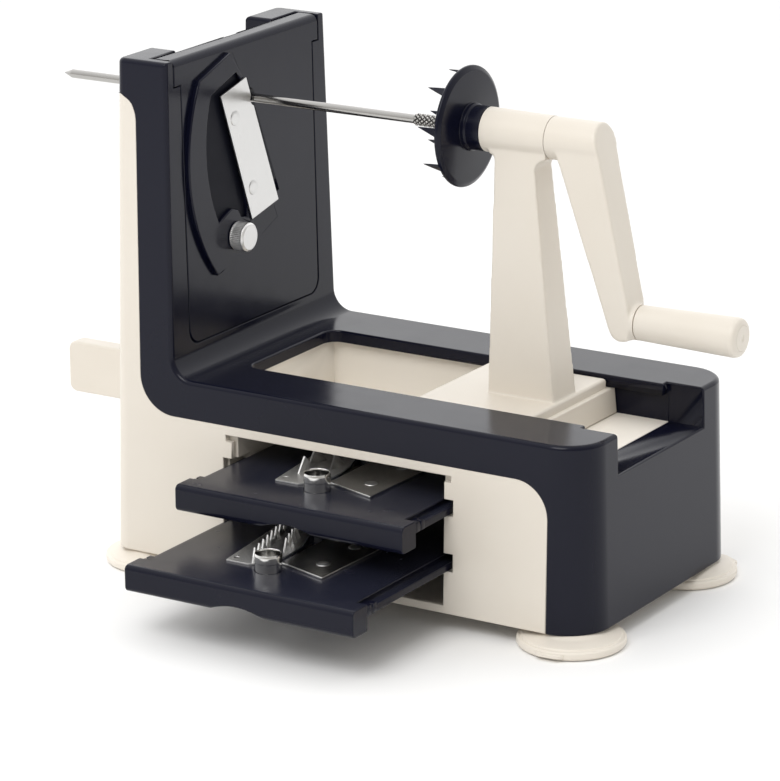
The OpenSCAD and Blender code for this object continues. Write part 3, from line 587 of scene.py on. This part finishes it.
# grip
L = 61.0
prof = rounded([(3.6, 0), (9.1, 0), (9.6, 0.5), (10.9, L - 3.6), (10.2, L - 0.9), (7.02, L), (7.0, L - 4), (3.6, L - 4)], [0, 0.3, 0.5, 3, 2.2, 0.15, 0, 0], 6)
bm = lathe(bmesh.new(), prof, "x", (247.8, YC, GRZ), 112)
from_bm(bm, "crank_grip_turned", CREAM, "grip", ["crank_grip"], 50)
prof = rounded([(0, L - 0.5), (1.2, L - 0.45), (2.2, L - 0.08), (6.9, L - 0.02), (6.98, L - 0.2), (6.98, L - 6), (0, L - 6)], [0, 0.4, 0.6, 0.05, 0.05, 0, 0], 4)
bm = lathe(bmesh.new(), prof, "x", (247.8, YC, GRZ), 96)
from_bm(bm, "grip_cap_plug", CREAM, "grip", ["grip_cap"], 40)

# spiked disc: turned plate and hub, with two rings of fins
R = 33.4
prof = rounded([(3.6, 0.0), (R - 2.2, 0.0), (R, 1.4), (R, 3.0), (R - 2.6, 4.3), (13.6, 5.0), (13.2, 5.2), (13.2, 7.2), (12.3, 8.0), (12.3, 15.6), (11.7, 16.2), (5.1, 16.2)],
               [0, 1.2, 1.2, 1.0, 2.5, 0.3, 0.2, 0.6, 0.4, 0.4, 0.3, 0], 5)
bm = lathe(bmesh.new(), prof, "x", (137.7, YC, AXZ), 144)
for kk in (0, 1):
    for i in range(8):
        t = math.radians(84 + 45 * i + 22.5 * kk)
        rad = 29.3 if kk == 0 else 20.4
        ln = 11.6 if kk == 0 else 10.6
        ct, st = math.cos(t), math.sin(t)
        secs = []
        for h, w0, w1, th in ((0.6, -1.5, 3.9, 1.9), (-0.4, -1.3, 3.4, 1.5), (-ln * 0.55, -1.15, 1.15, 1.0), (-ln * 0.9, -1.0, -0.35, 0.5), (-ln, -0.95, -0.75, 0.12)):
            ring = []
            for rr, ww in ((th / 2, w0), (th / 2, w1), (-th / 2, w1), (-th / 2, w0)):
                y, z = rad + rr, ww
                ring.append(bm.verts.new(P(137.7 + h, YC + y * ct - z * st, AXZ + y * st + z * ct)))
            secs.append(ring)
        bm.faces.new(secs[0]); bm.faces.new(secs[-1])
        for u, v in zip(secs, secs[1:]):
            for q in range(4):
                bm.faces.new((u[q], u[(q + 1) % 4], v[(q + 1) % 4], v[q]))
from_bm(bm, "drive_disc_spiked", NAVY, "crank", ["drive_disc"], 38)

# ------------------------------------------------------------------ pointed rod with a diamond knurl
bm = bmesh.new()
prof = [(0.0, -129.5), (0.3, -129.3), (2.2, -124.7), (2.45, -124.0), (2.5, -123.4)]
prof += [(2.5, -123.4 + (106.9 + 123.4) * k / 24) for k in range(1, 25)]
lathe(bm, prof + [(0.0, 106.91)], "x", (0, YC, AXZ), 64)
rows, cols = 190, 128
grid = []
for i in range(rows + 1):
    x = 106.9 + 37.8 * i / rows
    ring = []
    for j in range(cols):
        t = 2 * math.pi * j / cols
        u = (x - 106.9) / 3.0
        a = abs(((8 * t / (2 * math.pi) + u) % 1.0) - 0.5) * 2
        b = abs(((8 * t / (2 * math.pi) - u) % 1.0) - 0.5) * 2
        h = max(0.0, min(1.0, 1.9 * min(a, b)))
        edge = min(1.0, (x - 106.9) / 0.9, (144.7 - x) / 0.9)
        r = 2.5 + (0.02 + 0.95 * h) * max(0.0, edge)
        ring.append(bm.verts.new(P(x, YC + r * math.cos(t), AXZ + r * math.sin(t))))
    grid.append(ring)
for u, v in zip(grid, grid[1:]):
    for j in range(cols):
        bm.faces.new((u[j], u[(j + 1) % cols], v[(j + 1) % cols], v[j]))
bm.faces.new(grid[0]); bm.faces.new(grid[-1])
rod = from_bm(bm, "skewer_rod_knurled", ROD, "skewer", ["skewer_rod"], 60)
# faces deep in the knurl's grooves take the darkened steel: painted shade
rod.data.materials.append(KNURL_PIT_PAINTED_SHADE)
for f in rod.data.polygons:
    x, y, z = D(f.center)
    if 107.6 < x < 144.2 and math.hypot(y - YC, z - AXZ) < 2.95:
        f.material_index = 1

# ------------------------------------------------------------------ stored plates
PX = 107.2


def r_stored(x, y, z, n1, n2, d, convex):
    return 0.7 if convex else 0.0


for who, body, d, z in (("upper", "upper_drawer", -50.4, 71.9), ("lower", "lower_drawer", -99.0, 40.6)):
    plate = soften(who + "_plate", NAVY, body, r_stored, 0.7, 3)
    # upper face: a slightly rougher finish, and a lighter colour that is painted light for the light falling on the
    # tops
    plate.data.materials.append(PLATE_TOP_PAINTED_LIGHT)
    for f in plate.data.polygons:
        if f.normal.z > 0.95 and D(f.center)[2] > z - 3.0:
            f.material_index = 1
    # slotted blocks behind both ends of the bar
    bm = bmesh.new()
    for s in (-1, 1):
        block = [(66.0, 14.3), (71.95, 14.3), (71.95, 18.8), (70.2, 18.8), (70.2, 20.1), (71.95, 20.1), (71.95, 23.8), (66.0, 23.8)]
        prism(bm, [(PX + s * u, d + v) for u, v in block], z - 7.05, z - 1.5, "z")
    bmesh.ops.recalc_face_normals(bm, faces=bm.faces)
    bmesh.ops.bevel(bm, geom=list(bm.edges), offset=0.25 * MM, segments=2, profile=0.5, affect="EDGES", clamp_overlap=True)
    from_bm(bm, who + "_plate_blocks", NAVY, body, [], 50)
    soften(who + "_blade", BLADE, body, lambda x, y, zz, a, b, dd, c: 0.3 if c else 0.0, 0.3, 2)
    soften(who + "_comb", COMB, body, lambda x, y, zz, a, b, dd, c: 0.12 if c else 0.0, 0.12, 2)
    prof = rounded([(6.6, -6.9), (7.3, -6.9), (7.3, 4.9), (7.55, 5.2), (7.5, 8.6), (7.1, 10.0), (6.75, 9.7), (6.6, 9.0), (6.6, -6.9)], [0, 0, 0.1, 0.15, 0.6, 0.15, 0.2, 0.3, 0], 3)
    bm = lathe(bmesh.new(), prof, "z", (PX - 1.4, d + 32.6, z), 96)
    bmesh.ops.remove_doubles(bm, verts=bm.verts, dist=1e-6)
    from_bm(bm, who + "_ring_ground", RING, body, [who + "_ring"], 45)
    bm = bmesh.new()
    for i, (rx, ry) in enumerate(((PX + 20.5, d + 52.5), (PX + 20.5, d + 84), (PX - 26, d + 39), (PX - 31, d + 90))):
        if i < 2:
            prof = rounded([(0, 2.0), (1.5, 2.02), (3.6, 1.62), (3.7, 1.43), (1.5, 1.43), (1.5, -6.9), (0, -6.9)], [0, 2, 0.2, 0, 0, 0, 0], 4)
        else:
            prof = [(0, 0.78), (1.2, 0.8), (1.45, 0.95), (1.5, -6.9), (0, -6.9)]
        lathe(bm, prof, "z", (rx, ry, z), 48)
    from_bm(bm, who + "_rivet_heads", TURNED, body, [who + "_rivets"], 40)

# flush rivets of the mounted blade
bm = bmesh.new()
for ry, rz in ((63.8, TOP - 41.7), (79.7, TOP - 84.6)):
    prof = rounded([(0, 4.3), (2.6, 4.24), (3.9, 4.04), (4.3, 3.79), (2.0, 3.79), (2.0, -7.9), (0, -7.9)], [0, 0.5, 0.3, 0, 0, 0, 0], 4)
    lathe(bm, prof, "x", (-(rz - 115.5) * LEAN, ry, rz), 56)
from_bm(bm, "spiral_rivet_heads", BLADE_V, "frame", ["spiral_rivets"], 40)

# ------------------------------------------------------------------ pieces that keep their CAD shape
keep = {"thumb_stud": ZINC, "crank_shaft": ROD, "disc_pin": ZINC, "grip_pin": ZINC, "grip_washer": ZINC,
        "front_bush": POM, "rear_bush": POM, "grip_screws": ZINC, "base_screws": ZINC, "rack_screws": ZINC,
        "tray_screws": ZINC, "cover_screws": ZINC, "carriage_screws": ZINC}
for n, m in keep.items():
    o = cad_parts[n]
    if o.material_slots:
        for s in o.material_slots:
            s.link = "OBJECT"
            s.material = m
    else:
        o.data.materials.append(m)

# ------------------------------------------------------------------ stage, light and camera
me = bpy.data.meshes.new("floor")
bm = bmesh.new()
n, S = 24, 4.0
g = [[bm.verts.new((-S + 2 * S * i / n, -S + 2 * S * j / n, -0.0004)) for j in range(n + 1)] for i in range(n + 1)]
for i in range(n):
    for j in range(n):
        bm.faces.new((g[i][j], g[i + 1][j], g[i + 1][j + 1], g[i][j + 1]))
bm.to_mesh(me)
bm.free()
floor = bpy.data.objects.new("floor", me)
scene.collection.objects.link(floor)
fm, nt, b, co = new_mat("floor_paper")
nt.links.new(two_colours(nt, noise(nt, co, 6.0), (0.93, 0.93, 0.93), (0.95, 0.95, 0.95)), b.inputs["Base Color"])
b.inputs["Roughness"].default_value = 0.9
b.inputs["IOR"].default_value = 1.2
me.materials.append(fm)

w = bpy.data.worlds.new("studio")
scene.world = w
w.use_nodes = True
nt = w.node_tree
bg = nt.nodes["Background"]
tc = nt.nodes.new("ShaderNodeTexCoord")
dot = nt.nodes.new("ShaderNodeVectorMath")
dot.operation = "DOT_PRODUCT"
dot.inputs[1].default_value = (-0.50, 0.50, 0.30)
nt.links.new(tc.outputs["Generated"], dot.inputs[0])
mr = nt.nodes.new("ShaderNodeMapRange")
for k, v in (("From Min", -0.5), ("From Max", 0.7), ("To Min", 0.48), ("To Max", 1.42)):
    mr.inputs[k].default_value = v
nt.links.new(dot.outputs["Value"], mr.inputs["Value"])
nt.links.new(mr.outputs[0], bg.inputs["Strength"])
cr = nt.nodes.new("ShaderNodeValToRGB")
cr.color_ramp.elements[0].position = 0.0
cr.color_ramp.elements[1].position = 0.6
cr.color_ramp.elements[0].color = (1.0, 0.97, 0.91, 1)
cr.color_ramp.elements[1].color = (1, 1, 1, 1)
mr2 = nt.nodes.new("ShaderNodeMapRange")
mr2.inputs["From Min"].default_value = -0.5
mr2.inputs["From Max"].default_value = 0.7
nt.links.new(dot.outputs["Value"], mr2.inputs["Value"])
nt.links.new(mr2.outputs[0], cr.inputs["Fac"])
nt.links.new(cr.outputs["Color"], bg.inputs["Color"])


def area(name, loc, target, size, power):
    l = bpy.data.lights.new(name, "AREA")
    l.shape = "DISK"
    l.size = size
    l.energy = power
    o = bpy.data.objects.new(name, l)
    scene.collection.objects.link(o)
    o.location = loc
    o.rotation_euler = (Vector(target) - Vector(loc)).to_track_quat("-Z", "Y").to_euler()
    return o


area("key", (0.02, -1.5, 1.9), (0, 0, 0.1), 1.4, 22)
# soft spot on the floor behind the object, clear of the object itself
sl = bpy.data.lights.new("back_floor", "SPOT")
sl.energy = 95
sl.spot_size = math.radians(34)
sl.spot_blend = 1.0
sl.shadow_soft_size = 0.25
so = bpy.data.objects.new("back_floor", sl)
scene.collection.objects.link(so)
so.location = (0.75, 0.95, 2.4)
so.rotation_euler = (Vector((0.75, 0.85, 0)) - Vector(so.location)).to_track_quat("-Z", "Y").to_euler()

az, el, roll = math.radians(31.973), math.radians(16.964), math.radians(-0.479)
back = Vector((math.sin(az) * math.cos(el), -math.cos(az) * math.cos(el), math.sin(el)))
fwd = -back
right = fwd.cross(Vector((0, 0, 1))).normalized()
up = right.cross(fwd)
r2 = right * math.cos(roll) + up * math.sin(roll)
u2 = up * math.cos(roll) - right * math.sin(roll)
pos = P(110, 84, 145) - (r2 * 17.403 + u2 * 41.584 + fwd * 2263.721) * MM
cd = bpy.data.cameras.new("camera")
cd.sensor_width = 36.0
cd.lens = 4088.63 * 36.0 / 781.0
cd.clip_end = 50
cam = bpy.data.objects.new("camera", cd)
scene.collection.objects.link(cam)
m = Matrix((r2, u2, back)).transposed().to_4x4()
m.translation = pos
cam.matrix_world = m
scene.camera = cam
scene.view_settings.view_transform = "Standard"
scene.view_settings.look = "None"
scene.view_settings.exposure = 0.0
